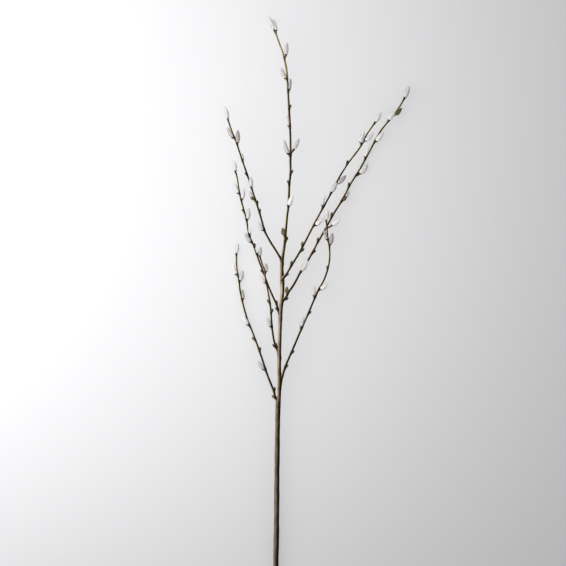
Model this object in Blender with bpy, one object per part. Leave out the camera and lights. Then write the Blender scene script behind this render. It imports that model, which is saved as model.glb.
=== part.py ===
# Cut branch of pussy willow: a leader and seven side shoots, with silver catkins and brown buds.
# It lies on its side along +Y. The cut end is at -Y, the surface it rests on is z = 0.

import math
import random

import bmesh
import bpy
from mathutils import Matrix, Vector

# Routes and sizes are in millimetres and are turned into metres when a mesh is made.
MM = 0.001

# The stem of the leader: x, y, z of its centre and its diameter, from the cut end to the tip.
LEADER_ROUTE = [
    (-70, -551, 4.95, 9.9),
    (-71.5, -471, 8.4, 9.8),
    (-72, -411, 10.8, 9.6),
    (-70.8, -345, 13.5, 9.4),
    (-70, -247, 17.4, 9.0),
    (-68.3, -135, 22.1, 8.5),
    (-67.5, -126, 22.5, 8.2),
    (-66, -113, 23.0, 6.3),
    (-66, -68, 24.9, 6.3),
    (-66, -45, 25.8, 6.8),
    (-64, 23, 28.6, 6.5),
    (-61, 66, 30.4, 7.1),
    (-60.5, 82, 31.0, 7.2),
    (-61.5, 105, 31.9, 6.6),
    (-61, 122, 32.5, 5.9),
    (-57, 150, 33.5, 4.9),
    (-55, 172, 34.2, 4.5),
    (-53, 194, 34.9, 4.1),
    (-50, 221, 35.8, 4.0),
    (-48.5, 255, 36.8, 4.0),
    (-46.5, 276, 37.4, 4.0),
    (-46.5, 299, 38.0, 4.0),
    (-46.3, 317, 38.5, 3.9),
    (-47, 352, 39.3, 3.8),
    (-49.3, 394, 40.2, 3.7),
    (-50.8, 421, 40.7, 3.6),
    (-53.2, 455, 41.2, 3.5),
    (-56.2, 472, 41.4, 3.4),
    (-59.3, 485, 41.5, 3.3),
    (-64.4, 499, 41.7, 3.1),
    (-73.8, 525, 41.8, 2.8),
]

# Each side shoot: the x, y, z route of its centre from inside the leader to its tip, the length of
# the collar that stays on the leader, and the diameters at the shoot's foot and tip.
# A catkin is (y of its root, turn about the stem, lean from +Y, length, width, stalk): turn 0 faces
# up, 90 is the +X side, -90 the -X side and 180 the underside. A bud is (y of its middle, turn, length).
SPRAYS = {
    "left_top_shoot": {
        "route": [
            (-60.5, 117, 32.3),
            (-62.5, 124, 33.0),
            (-74.2, 144, 36.0),
            (-84.2, 160, 37.8),
            (-91.1, 174, 39.2),
            (-100, 204, 42.0),
            (-111.5, 240, 45.0),
            (-121, 270, 47.5),
            (-131.5, 300, 50.0),
            (-139.5, 325, 52.0),
            (-150.5, 353, 54.0),
            (-155.5, 369, 55.0),
        ],
        "collar": 15,
        "diameters": (4.2, 3.0),
        "catkins": [
            (370, 0, -14, 22.5, 7.0, 2),
            (338, -80, -27, 20.0, 7.0, 0),
            (328, 70, 0, 21.5, 8.0, 0),
            (299, 100, -14, 10.0, 4.4, 0),
            (252, 10, -5, 17.0, 8.0, 0),
            (230, -70, -27, 16.0, 7.0, 0),
            (177, -80, -31, 17.0, 7.0, 0),
        ],
        "buds": [
            (225, 90, 7.5),
            (211, 80, 7.0),
            (276, -60, 6.0),
        ],
    },
    "left_middle_shoot": {
        "route": [
            (-63.5, 22, 28.6),
            (-66, 30, 29.0),
            (-71.5, 47, 29.0),
            (-83, 73, 28.5),
            (-93, 100, 28.0),
            (-101.5, 122, 27.5),
            (-111.5, 150, 27.0),
            (-119.5, 170, 26.5),
            (-123.5, 194, 26.0),
            (-131, 222, 25.5),
            (-136, 243, 25.0),
            (-140.5, 271, 24.5),
            (-143, 279, 24.3),
        ],
        "collar": 18,
        "diameters": (3.9, 2.9),
        "catkins": [
            (279, 20, -8, 17.0, 7.0, 1),
            (241, -90, -21, 17.5, 7.0, 0),
            (230, 80, 9, 18.0, 7.0, 0),
            (195, 75, 5, 18.0, 8.0, 0),
            (168, 80, -7, 13.5, 4.6, 1),
            (156, -70, -32, 17.5, 7.0, 0),
            (134, 95, -20, 12.0, 4.4, 0),
        ],
        "buds": [
            (150, 90, 7.5),
            (50, 85, 7.0),
            (43.5, -80, 6.0),
            (212, -80, 6.0),
            (106, -85, 6.0),
        ],
    },
    "left_inner_shoot": {
        "route": [
            (-65, -47, 25.8),
            (-69, -35, 26.4),
            (-74, -23, 28.0),
            (-78, -1, 31.0),
            (-80, 22, 34.0),
            (-81.5, 42, 36.5),
            (-86.5, 72, 39.0),
            (-91, 97, 40.5),
            (-91, 105, 41.0),
            (-95, 114, 41.5),
            (-100.5, 132, 42.5),
        ],
        "collar": 20,
        "diameters": (4.1, 2.9),
        "catkins": [
            (132, 0, 7, 14.5, 6.2, 0),
            (104, 85, -5, 13.0, 6.2, 0),
            (85, -75, -40, 15.5, 7.0, 0),
            (8, -80, -19, 16.0, 6.2, 0),
        ],
        "buds": [
            (53, -75, 7.5),
            (36, 85, 8.0),
            (-24, 85, 7.0),
            (-24, -80, 7.0),
        ],
    },
    "left_low_shoot": {
        "route": [
            (-68, -132, 22.4),
            (-70, -122, 22.4),
            (-73.5, -115, 22.0),
            (-76.4, -104, 20.9),
            (-85.9, -80, 18.5),
            (-98.3, -43, 15.0),
            (-112.8, -3, 11.5),
            (-122.8, 22, 9.5),
            (-132.8, 60, 7.15),
            (-137, 87, 6.15),
            (-141, 114, 6.35),
            (-141.2, 135, 7.35),
        ],
        "collar": 20,
        "diameters": (4.4, 2.9),
        "catkins": [
            (135, 0, 7, 18.5, 7.0, 1),
            (99, -75, -22, 17.5, 7.0, 0),
            (87, 122, 14, 17.5, 8.8, 0),
            (55, 80, -4, 16.0, 5.2, 0),
            (11, -80, -28, 18.0, 8.0, 0),
            (-67, -85, -35, 17.0, 7.0, 0),
        ],
        "buds": [
            (-12, -80, 7.5),
            (-32, 85, 7.5),
            (-102, 85, 8.0),
            (-108, -85, 7.5),
        ],
    },
    "right_inner_shoot": {
        "route": [
            (-61, 84, 31.2),
            (-60.5, 90, 33.4),
            (-56, 96, 36.0),
            (-51.6, 103, 38.0),
            (-41.1, 120.6, 40.8),
            (-28.6, 141, 43.3),
            (-23.4, 151, 44.5),
            (-12.3, 173, 47.0),
            (0.5, 198, 50.0),
            (13.5, 221, 52.5),
            (24.8, 242, 54.5),
            (38.5, 268, 57.0),
            (54.5, 294, 59.0),
            (75, 321, 61.0),
            (87, 344, 62.5),
            (101, 364, 64.0),
        ],
        "collar": 16,
        "diameters": (4.1, 3.0),
        "catkins": [
            (364, 0, 31, 19.5, 8.0, 1),
            (327, -60, 16, 20.0, 8.8, 0),
            (333, 85, 46, 20.0, 8.0, 0),
            (259, 85, 47, 19.0, 8.0, 0),
            (243, 5, 29, 18.0, 8.8, 0),
            (217, -80, 15, 18.0, 5.2, 0),
            (186, 80, 50, 18.5, 8.8, 0),
        ],
        "buds": [
            (295, -70, 7.0),
            (152, -80, 9.0),
            (144, 88, 8.0),
            (119, -78, 8.0),
            (101, 90, 6.5),
        ],
    },
    "right_outer_shoot": {
        "route": [
            (-63, 46, 29.6),
            (-60.5, 52, 31.0),
            (-53.4, 60.5, 32.2),
            (-50.2, 67.5, 32.0),
            (-41.2, 80.5, 30.7),
            (-30, 101, 28.0),
            (-15, 125, 24.0),
            (0, 153, 19.0),
            (14.2, 178, 15.0),
            (28.3, 204, 12.5),
            (44.9, 231, 10.0),
            (58.3, 257, 8.3),
            (75.2, 284, 7.4),
            (90, 311, 7.6),
            (112, 351, 9.0),
            (138, 383, 11.0),
            (153.5, 408, 12.5),
        ],
        "collar": 14.5,
        "diameters": (4.3, 3.0),
        "catkins": [
            (408, 0, 21, 20.5, 9.6, 1),
            (380, 85, 41, 16.0, 7.0, 0),
            (369, -30, 36, 17.0, 8.8, 0),
            (333, 60, 40, 20.5, 8.8, 0),
            (303, -80, 21, 20.0, 5.2, 0),
            (272, 115, 41, 22.0, 10.4, 7),
            (229, 70, 33, 19.0, 5.2, 0),
            (105, 5, 33, 20.5, 8.8, 0),
        ],
        "buds": [
            (257, -80, 7.0),
            (204, -80, 8.0),
            (160, -75, 7.0),
            (141, 85, 7.5),
            (71, -75, 13.0),
            (61.8, 88, 7.2),
        ],
    },
    "right_low_shoot": {
        "route": [
            (-65.5, -102, 23.5),
            (-63.5, -92, 24.0),
            (-61.5, -82, 24.4),
            (-54.2, -59, 25.2),
            (-43.8, -35, 26.2),
            (-27.8, 3, 27.6),
            (-13.1, 36, 29.0),
            (0.5, 68, 30.5),
            (14.4, 95, 31.6),
            (21.3, 122, 32.6),
            (21.5, 147, 33.2),
            (18.5, 165, 33.8),
            (17, 180, 34.2),
            (16, 194, 34.6),
        ],
        "collar": 28,
        "diameters": (4.5, 3.0),
        "catkins": [
            (195, 0, 6, 18.0, 8.0, 0),
            (180, 90, 54, 19.0, 8.0, 8),
            (160, -75, -17, 17.0, 6.2, 0),
            (151, 85, 11, 19.0, 8.0, 0),
            (74, 85, 49, 17.5, 8.8, 0),
            (60, -70, 2, 18.5, 7.0, 0),
            (6, -70, 18, 17.5, 7.0, 0),
        ],
        "buds": [
            (34, 85, 7.0),
            (-35, 80, 7.0),
            (-60, 85, 7.0),
            (112, -80, 5.5),
        ],
    },
}

LEADER_CATKINS = [
    (525, 0, -26, 27.0, 8.8, 1),
    (523, 70, -11, 19.0, 7.0, 1),
    (477, 85, 5, 20.5, 7.0, 5),
    (441, -80, -24, 20.0, 7.0, 0),
    (421, 80, 7, 19.5, 5.4, 0),
    (358, -120, -7, 20.0, 7.0, 0),
    (308, -80, -17, 26.0, 7.0, 0),
    (312, 85, 27, 20.5, 7.0, 6),
    (219, 15, 20, 19.0, 8.8, 0),
]

LEADER_BUDS = [
    (393, 85, 7.5),
    (279, 85, 8.0),
    (261, -80, 7.0),
    (174, -72, 15.0),
    (162, 88, 8.5),
]

# A tube's sides, the spacing of its rings, the air between a collar and its shoot, and how much
# wider a collar is at its foot than at its end.
LEADER_BEVEL = 2
SHOOT_BEVEL = 1
LEADER_STEP = 26
SHOOT_STEP = 17
JOINT_GAP = 0.3
COLLAR_SWELL = 1.35

# Points nearer than this are made one, and edges shorter than the second are closed, in metres.
WELD = 0.00001
SLIVER = 0.00005

# A catkin is an egg, widest below its middle, held in a short brown scale that starts just below
# its root. The scale's sizes and its drop are shares of the catkin's length and width.
CATKIN_SIDES = 7
CATKIN_RINGS = 6
CATKIN_TAPER = 0.26
SCALE_SIDES = 6
SCALE_RINGS = 4
SCALE_LENGTH = 0.42
SCALE_WIDTH = 0.86
SCALE_DROP = 0.06

# How far a catkin's foot stands out from the bark, as a share of its width, how far a catkin on
# the upper side lifts out of the plane, and the seeded wobble of that lift, both in degrees.
FOOT_OUT = 0.1
CATKIN_LIFT = 14
WOBBLE = 4
SEED = 7

# A stalk's radius as a share of its stem's, its bow as a share of its own length and how far it
# reaches into its catkin, as a share of the catkin's length.
STALK_THICKNESS = 0.8
STALK_BOW = 0.1
STALK_REACH = 0.1

# A bud is a slim cone-like egg pressed to its stem.
BUD_SIDES = 6
BUD_RINGS = 4
BUD_TAPER = 0.35
BUD_WIDTH = 0.52
BUD_LEAN = 26
BUD_DEPTH = 0.3

# Colour, roughness and metallic value of each sub-part.
LEADER_BARK = ((0.25, 0.20, 0.13, 1.0), 0.6, 0.0)
SHOOT_BARK = ((0.17, 0.13, 0.05, 1.0), 0.5, 0.0)


def clear_scene():
    for item in list(bpy.data.objects):
        bpy.data.objects.remove(item, do_unlink=True)


def make_material(name, finish):
    colour, roughness, metallic = finish
    material = bpy.data.materials.new(name)
    material.use_nodes = True
    shader = material.node_tree.nodes["Principled BSDF"]
    shader.inputs["Base Color"].default_value = colour
    shader.inputs["Roughness"].default_value = roughness
    shader.inputs["Metallic"].default_value = metallic
    return material


# A smooth curve through every route point, with extra rings about one step apart.
def smooth_route(points, step):
    places = [Vector(point) for point in points]
    ends = [2 * places[0] - places[1]] + places + [2 * places[-1] - places[-2]]
    smooth = []
    for before, start, end, after in zip(ends, ends[1:], ends[2:], ends[3:]):
        pieces = max(1, round((end - start).length / step))
        for index in range(pieces):
            t = index / pieces
            smooth.append(
                0.5
                * (
                    2 * start
                    + (end - before) * t
                    + (2 * before - 5 * start + 4 * end - after) * t**2
                    + (3 * start - before - 3 * end + after) * t**3
                )
            )
    return smooth + [places[-1]]


# The route in two, before and after a length along it, with a gap left between them.
def cut_route(points, length, gap):
    travelled = 0
    for index in range(1, len(points)):
        piece = points[index] - points[index - 1]
        if travelled + piece.length > length + gap:
            direction = piece.normalized()
            cut = points[index - 1] + direction * (length - travelled)
            return points[:index] + [cut], [cut + direction * gap] + points[index:]
        travelled += piece.length
    return points, []


# The point of a route at one y, or its nearer end, with the direction of the stem there.
def at_height(points, y):
    for start, end in zip(points, points[1:]):
        if start.y <= y <= end.y:
            return start.lerp(end, (y - start.y) / (end.y - start.y)), (end - start).normalized()
    if y < points[0].y:
        return points[0], (points[1] - points[0]).normalized()
    return points[-1], (points[-1] - points[-2]).normalized()


def link(item, collection=None):
    (collection or bpy.context.scene.collection).objects.link(item)
    return item


def mesh_of(item):
    bpy.context.view_layer.update()
    depsgraph = bpy.context.evaluated_depsgraph_get()
    return bpy.data.meshes.new_from_object(item.evaluated_get(depsgraph))


# A stem through points in millimetres: a bevelled curve, made a mesh with its caps welded.
def make_stem(name, points, radii, bevel_resolution, collection):
    curve = bpy.data.curves.new(name + "_curve", "CURVE")
    curve.dimensions = "3D"
    curve.bevel_depth = radii[0] * MM
    curve.bevel_resolution = bevel_resolution
    curve.resolution_u = 1
    curve.render_resolution_u = 0
    curve.use_fill_caps = True
    spline = curve.splines.new("POLY")
    spline.points.add(len(points) - 1)
    for spot, point, radius in zip(spline.points, points, radii):
        spot.co = (*(point * MM), 1)
        spot.radius = radius / radii[0]
    guide = link(bpy.data.objects.new(name + "_guide", curve))
    mesh = mesh_of(guide)
    bpy.data.objects.remove(guide)
    build = bmesh.new()
    build.from_mesh(mesh)
    bmesh.ops.remove_doubles(build, verts=build.verts, dist=WELD)
    bmesh.ops.recalc_face_normals(build, faces=build.faces)
    build.to_mesh(mesh)
    build.free()
    return link(bpy.data.objects.new(name, mesh), collection)


# An egg with its foot at a place in millimetres, pointing along a direction.
def make_egg(name, place, direction, length, width, taper, sides, rings, collection):
    build = bmesh.new()
    bmesh.ops.create_uvsphere(build, u_segments=sides, v_segments=rings, radius=1)
    for vertex in build.verts:
        narrowing = 1 - taper * vertex.co.z
        vertex.co.x *= width / 2 * narrowing
        vertex.co.y *= width / 2 * narrowing
        vertex.co.z = (vertex.co.z + 1) * length / 2
    turn = Vector((0, 0, 1)).rotation_difference(direction).to_matrix().to_4x4()
    frame = Matrix.Translation(place * MM) @ turn @ Matrix.Scale(MM, 4)
    bmesh.ops.transform(build, matrix=frame, verts=build.verts)
    mesh = bpy.data.meshes.new(name)
    build.to_mesh(mesh)
    build.free()
    return link(bpy.data.objects.new(name, mesh), collection)


# The way out of the stem at a turn about it: 0 is up, 90 is the +X side.
def outward(direction, turn):
    right = direction.cross(Vector((0, 0, 1))).normalized()
    up = right.cross(direction)
    angle = math.radians(turn)
    return right * math.sin(angle) + up * math.cos(angle)


def add_catkin(name, centre, catkin, radius, draw, collection):
    y, turn, lean, length, width, stalk = catkin
    place, direction = at_height(centre, y)
    side = outward(direction, turn)
    angle = math.radians(lean)
    lift = math.radians(CATKIN_LIFT * math.cos(math.radians(turn)) + draw.uniform(-WOBBLE, WOBBLE))
    pointing = Vector((math.sin(angle), math.cos(angle), math.tan(lift))).normalized()
    at_tip = y >= centre[-1].y
    root = place if at_tip else place + side * (radius + width * FOOT_OUT)
    foot = root + pointing * stalk
    if stalk > radius:
        middle = (root + foot) / 2 + side * STALK_BOW * stalk
        end = foot + pointing * length * STALK_REACH
        radii = [radius * STALK_THICKNESS] * 3
        make_stem(name + "_stalk", [place, middle, end], radii, SHOOT_BEVEL, collection)
    make_egg(
        name, foot, pointing, length, width, CATKIN_TAPER, CATKIN_SIDES, CATKIN_RINGS, collection
    )
    make_egg(
        name + "_scale",
        foot - pointing * length * SCALE_DROP,
        pointing,
        length * SCALE_LENGTH,
        width * SCALE_WIDTH,
        0,
        SCALE_SIDES,
        SCALE_RINGS,
        collection,
    )


def add_bud(name, centre, bud, radius, collection):
    y, turn, length = bud
    place, direction = at_height(centre, y - length / 2)
    side = outward(direction, turn)
    pointing = (direction + side * math.tan(math.radians(BUD_LEAN))).normalized()
    root = place + side * radius * (1 - BUD_DEPTH)
    make_egg(
        name, root, pointing, length, length * BUD_WIDTH, BUD_TAPER, BUD_SIDES, BUD_RINGS, collection
    )


# One closed solid of a stem and all that grows from it.
def join_growth(name, stem, growth, material):
    union = stem.modifiers.new("growth", "BOOLEAN")
    union.operation = "UNION"
    union.operand_type = "COLLECTION"
    union.collection = growth
    union.solver = "EXACT"
    mesh = mesh_of(stem)
    build = bmesh.new()
    build.from_mesh(mesh)
    bmesh.ops.triangulate(build, faces=build.faces)
    bmesh.ops.dissolve_degenerate(build, edges=build.edges, dist=SLIVER)
    build.to_mesh(mesh)
    build.free()
    joined = link(bpy.data.objects.new(name, mesh), parts_collection)
    for item in [stem] + list(growth.objects):
        bpy.data.objects.remove(item, do_unlink=True)
    bpy.data.collections.remove(growth)
    joined.data.materials.clear()
    joined.data.materials.append(material)
    joined.data.shade_smooth()
    return joined


def spread(first, last, count):
    return [first + (last - first) * index / (count - 1) for index in range(count)]


def radius_at(centre, radii, y):
    for start, end, near, far in zip(centre, centre[1:], radii, radii[1:]):
        if start.y <= y <= end.y:
            return near + (far - near) * (y - start.y) / (end.y - start.y)
    return radii[-1]


def build_spray(name, spray, draw):
    route = smooth_route(spray["route"], SHOOT_STEP)
    base, tip = spray["diameters"]
    collar, shoot = cut_route(route, spray["collar"], JOINT_GAP)
    radii = spread(base / 2, tip / 2, len(shoot))
    growth = bpy.data.collections.new(name + "_growth")
    bpy.context.scene.collection.children.link(growth)
    for index, catkin in enumerate(spray["catkins"]):
        radius = radius_at(shoot, radii, catkin[0])
        add_catkin(f"{name}_catkin_{index}", shoot, catkin, radius, draw, growth)
    for index, bud in enumerate(spray["buds"]):
        add_bud(f"{name}_bud_{index}", shoot, bud, radius_at(shoot, radii, bud[0]), growth)
    stem = make_stem(name + "_stem", shoot, radii, SHOOT_BEVEL, None)
    join_growth(name, stem, growth, make_material(name + "_bark", SHOOT_BARK))
    return collar, base / 2


def build_leader(collars, draw):
    centre = smooth_route([point[:3] for point in LEADER_ROUTE], LEADER_STEP)
    heights = [point[1] for point in LEADER_ROUTE]
    widths = [point[3] / 2 for point in LEADER_ROUTE]
    known = [Vector((0, height, 0)) for height in heights]
    radii = [radius_at(known, widths, point.y) for point in centre]
    growth = bpy.data.collections.new("leader_growth")
    bpy.context.scene.collection.children.link(growth)
    for index, catkin in enumerate(LEADER_CATKINS):
        radius = radius_at(centre, radii, catkin[0])
        add_catkin(f"leader_catkin_{index}", centre, catkin, radius, draw, growth)
    for index, bud in enumerate(LEADER_BUDS):
        add_bud(f"leader_bud_{index}", centre, bud, radius_at(centre, radii, bud[0]), growth)
    for index, (collar, radius) in enumerate(collars):
        swollen = spread(radius * COLLAR_SWELL, radius, len(collar))
        make_stem(f"leader_collar_{index}", collar, swollen, SHOOT_BEVEL, growth)
    stem = make_stem("leader_stem", centre, radii, LEADER_BEVEL, None)
    join_growth("leader", stem, growth, make_material("leader_bark", LEADER_BARK))


clear_scene()
parts_collection = bpy.data.collections.new("willow_branch")
bpy.context.scene.collection.children.link(parts_collection)
seeded = random.Random(SEED)
branch_collars = [build_spray(name, spray, seeded) for name, spray in SPRAYS.items()]
build_leader(branch_collars, seeded)
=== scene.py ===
import math

import bpy
import numpy as np
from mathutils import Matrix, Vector


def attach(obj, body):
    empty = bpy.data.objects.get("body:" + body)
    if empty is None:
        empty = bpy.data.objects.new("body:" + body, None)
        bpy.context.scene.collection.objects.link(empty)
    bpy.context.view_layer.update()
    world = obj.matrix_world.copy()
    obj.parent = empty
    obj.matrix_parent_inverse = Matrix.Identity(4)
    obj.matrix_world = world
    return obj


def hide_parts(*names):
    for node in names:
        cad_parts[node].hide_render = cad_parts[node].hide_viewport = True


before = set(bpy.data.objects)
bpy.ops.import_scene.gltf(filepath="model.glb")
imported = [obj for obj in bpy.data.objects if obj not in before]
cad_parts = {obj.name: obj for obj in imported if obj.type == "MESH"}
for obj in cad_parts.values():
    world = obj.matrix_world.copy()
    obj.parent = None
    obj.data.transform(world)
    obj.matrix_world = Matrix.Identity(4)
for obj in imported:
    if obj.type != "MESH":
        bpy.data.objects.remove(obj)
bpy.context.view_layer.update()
print("packed branch loaded")

mm = 0.001
goldenTurn = math.pi * (3 - math.sqrt(5))
dice = np.random.default_rng(11)

# The leader's line, repeated from the solids: x, y, z and diameter in mm, cut end to tip.
leader = {
    "node": "leader",
    "route": [
        (-70, -551, 4.95, 9.9),
        (-71.5, -471, 8.4, 9.8),
        (-72, -411, 10.8, 9.6),
        (-70.8, -345, 13.5, 9.4),
        (-70, -247, 17.4, 9.0),
        (-68.3, -135, 22.1, 8.5),
        (-67.5, -126, 22.5, 8.2),
        (-66, -113, 23.0, 6.3),
        (-66, -68, 24.9, 6.3),
        (-66, -45, 25.8, 6.8),
        (-64, 23, 28.6, 6.5),
        (-61, 66, 30.4, 7.1),
        (-60.5, 82, 31.0, 7.2),
        (-61.5, 105, 31.9, 6.6),
        (-61, 122, 32.5, 5.9),
        (-57, 150, 33.5, 4.9),
        (-55, 172, 34.2, 4.5),
        (-53, 194, 34.9, 4.1),
        (-50, 221, 35.8, 4.0),
        (-48.5, 255, 36.8, 4.0),
        (-46.5, 276, 37.4, 4.0),
        (-46.5, 299, 38.0, 4.0),
        (-46.3, 317, 38.5, 3.9),
        (-47, 352, 39.3, 3.8),
        (-49.3, 394, 40.2, 3.7),
        (-50.8, 421, 40.7, 3.6),
        (-53.2, 455, 41.2, 3.5),
        (-56.2, 472, 41.4, 3.4),
        (-59.3, 485, 41.5, 3.3),
        (-64.4, 499, 41.7, 3.1),
        (-73.8, 525, 41.8, 2.8),
    ],
    # root y, turn about the stem and lean from +Y in degrees, length, width, stalk, grey tone (partly painted
    # light: catkins lying in shade are set paler), scale cover
    "catkins": [
        (525, 0, -26, 27.0, 8.8, 1, 0.3, 0.3),
        (523, 70, -11, 19.0, 7.0, 1, 0.33, 0.3),
        (477, 85, 5, 20.5, 7.0, 5, 0.53, 0.3),
        (441, -80, -24, 20.0, 7.0, 0, 0.54, 0.32),
        (421, 80, 7, 19.5, 5.4, 0, 1, 0.4),
        (358, -120, -7, 20.0, 7.0, 0, 0.3, 0.25),
        (308, -80, -17, 26.0, 7.0, 0, 0.63, 0.4),
        (312, 85, 27, 20.5, 7.0, 6, 0.59, 0.25),
        (219, 15, 20, 19.0, 8.8, 0, 0.03, 0.25),
    ],
    # middle y, turn, length, olive share
    "buds": [
        (393, 85, 7.5, 0.2),
        (279, 85, 8.0, 0.3),
        (261, -80, 7.0, 0.4),
        (174, -72, 15.0, 0.8),
        (162, 88, 8.5, 0.0),
    ],
}

# The side shoots: route in mm, diameters at foot and tip, catkins and buds as above.
shoots = {}
shoots["leftTop"] = {
    "node": "left_top_shoot",
    "route": [
        (-60.5, 117, 32.3),
        (-62.5, 124, 33.0),
        (-74.2, 144, 36.0),
        (-84.2, 160, 37.8),
        (-91.1, 174, 39.2),
        (-100, 204, 42.0),
        (-111.5, 240, 45.0),
        (-121, 270, 47.5),
        (-131.5, 300, 50.0),
        (-139.5, 325, 52.0),
        (-150.5, 353, 54.0),
        (-155.5, 369, 55.0),
    ],
    "diameters": (4.2, 3.0),
    "catkins": [
        (370, 0, -14, 22.5, 7.0, 2, 0.33, 0.25),
        (338, -80, -27, 20.0, 7.0, 0, 0.74, 0.35),
        (328, 70, 0, 21.5, 8.0, 0, 1, 0.25),
        (299, 100, -14, 10.0, 4.4, 0, 0.57, 0.4),
        (252, 10, -5, 17.0, 8.0, 0, 0.42, 0.2),
        (230, -70, -27, 16.0, 7.0, 0, 0.59, 0.6),
        (177, -80, -31, 17.0, 7.0, 0, 0.4, 0.3),
    ],
    "buds": [
        (225, 90, 7.5, 0.1),
        (211, 80, 7.0, 0.1),
        (276, -60, 6.0, 0.3),
    ],
}
shoots["leftMiddle"] = {
    "node": "left_middle_shoot",
    "route": [
        (-63.5, 22, 28.6),
        (-66, 30, 29.0),
        (-71.5, 47, 29.0),
        (-83, 73, 28.5),
        (-93, 100, 28.0),
        (-101.5, 122, 27.5),
        (-111.5, 150, 27.0),
        (-119.5, 170, 26.5),
        (-123.5, 194, 26.0),
        (-131, 222, 25.5),
        (-136, 243, 25.0),
        (-140.5, 271, 24.5),
        (-143, 279, 24.3),
    ],
    "diameters": (3.9, 2.9),
    "catkins": [
        (279, 20, -8, 17.0, 7.0, 1, 0.32, 0.3),
        (241, -90, -21, 17.5, 7.0, 0, 0.3, 0.3),
        (230, 80, 9, 18.0, 7.0, 0, 0.32, 0.25),
        (195, 75, 5, 18.0, 8.0, 0, 0.42, 0.25),
        (168, 80, -7, 13.5, 4.6, 1, 0.08, 0.36),
        (156, -70, -32, 17.5, 7.0, 0, 0.7, 0.3),
        (134, 95, -20, 12.0, 4.4, 0, 0.15, 0.42),
    ],
    "buds": [
        (150, 90, 7.5, 0.1),
        (50, 85, 7.0, 0.0),
        (40, -80, 6.5, 0.1),
        (212, -80, 6.0, 0.5),
        (106, -85, 6.0, 0.4),
    ],
}
shoots["leftInner"] = {
    "node": "left_inner_shoot",
    "route": [
        (-65, -47, 25.8),
        (-69, -35, 26.4),
        (-74, -23, 28.0),
        (-78, -1, 31.0),
        (-80, 22, 34.0),
        (-81.5, 42, 36.5),
        (-86.5, 72, 39.0),
        (-91, 97, 40.5),
        (-91, 105, 41.0),
        (-95, 114, 41.5),
        (-100.5, 132, 42.5),
    ],
    "diameters": (4.1, 2.9),
    "catkins": [
        (132, 0, 7, 14.5, 6.2, 0, 0.8, 0.3),
        (104, 85, -5, 13.0, 6.2, 0, 0.81, 0.35),
        (85, -75, -40, 15.5, 6.2, 0, 0.15, 0.25),
        (8, -80, -19, 16.0, 6.2, 0, 0.57, 0.3),
    ],
    "buds": [
        (53, -75, 7.5, 0.9),
        (36, 85, 8.0, 0.3),
        (-24, 85, 7.0, 0.1),
        (-24, -80, 7.0, 0.3),
    ],
}
shoots["leftLow"] = {
    "node": "left_low_shoot",
    "route": [
        (-68, -132, 22.4),
        (-70, -122, 22.4),
        (-73.5, -115, 22.0),
        (-76.4, -104, 20.9),
        (-85.9, -80, 18.5),
        (-98.3, -43, 15.0),
        (-112.8, -3, 11.5),
        (-122.8, 22, 9.5),
        (-132.8, 60, 7.15),
        (-137, 87, 6.15),
        (-141, 114, 6.35),
        (-141.2, 135, 7.35),
    ],
    "diameters": (4.4, 2.9),
    "catkins": [
        (135, 0, 7, 18.5, 7.0, 1, 0.22, 0.25),
        (99, -75, -22, 17.5, 7.0, 0, 0.05, 0.3),
        (87, 122, 14, 17.5, 8.8, 0, 0.45, 0.25),
        (55, 80, -4, 16.0, 5.2, 0, 0.97, 0.45),
        (11, -80, -28, 18.0, 8.0, 0, 0.05, 0.25),
        (-67, -85, -35, 17.0, 7.0, 0, 0.59, 0.3),
    ],
    "buds": [
        (-12, -80, 7.5, 0.7),
        (-32, 85, 7.5, 0.1),
        (-102, 85, 8.0, 0.1),
        (-113, -85, 7.5, 0.7),
    ],
}
shoots["rightInner"] = {
    "node": "right_inner_shoot",
    "route": [
        (-61, 84, 31.2),
        (-60.5, 90, 33.4),
        (-56, 96, 36.0),
        (-51.6, 103, 38.0),
        (-41.1, 120.6, 40.8),
        (-28.6, 141, 43.3),
        (-23.4, 151, 44.5),
        (-12.3, 173, 47.0),
        (0.5, 198, 50.0),
        (13.5, 221, 52.5),
        (24.8, 242, 54.5),
        (38.5, 268, 57.0),
        (54.5, 294, 59.0),
        (75, 321, 61.0),
        (87, 344, 62.5),
        (101, 364, 64.0),
    ],
    "diameters": (4.1, 3.0),
    "catkins": [
        (364, 0, 31, 19.5, 8.0, 1, 0.24, 0.25),
        (327, -60, 16, 20.0, 8.8, 0, 0.29, 0.3),
        (333, 85, 46, 20.0, 8.0, 0, 0.14, 0.25),
        (259, 85, 47, 19.0, 8.0, 0, 0.85, 0.25),
        (243, 5, 29, 18.0, 8.8, 0, 0.51, 0.2),
        (217, -80, 15, 18.0, 5.2, 0, 0.27, 0.35),
        (186, 80, 50, 18.5, 8.8, 0, 0.05, 0.3),
    ],
    "buds": [
        (295, -70, 7.0, 0.0),
        (152, -80, 9.0, 0.7),
        (144, 88, 8.0, 0.1),
        (119, -78, 8.0, 0.5),
        (101, 90, 6.5, 0.2),
    ],
}
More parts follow.
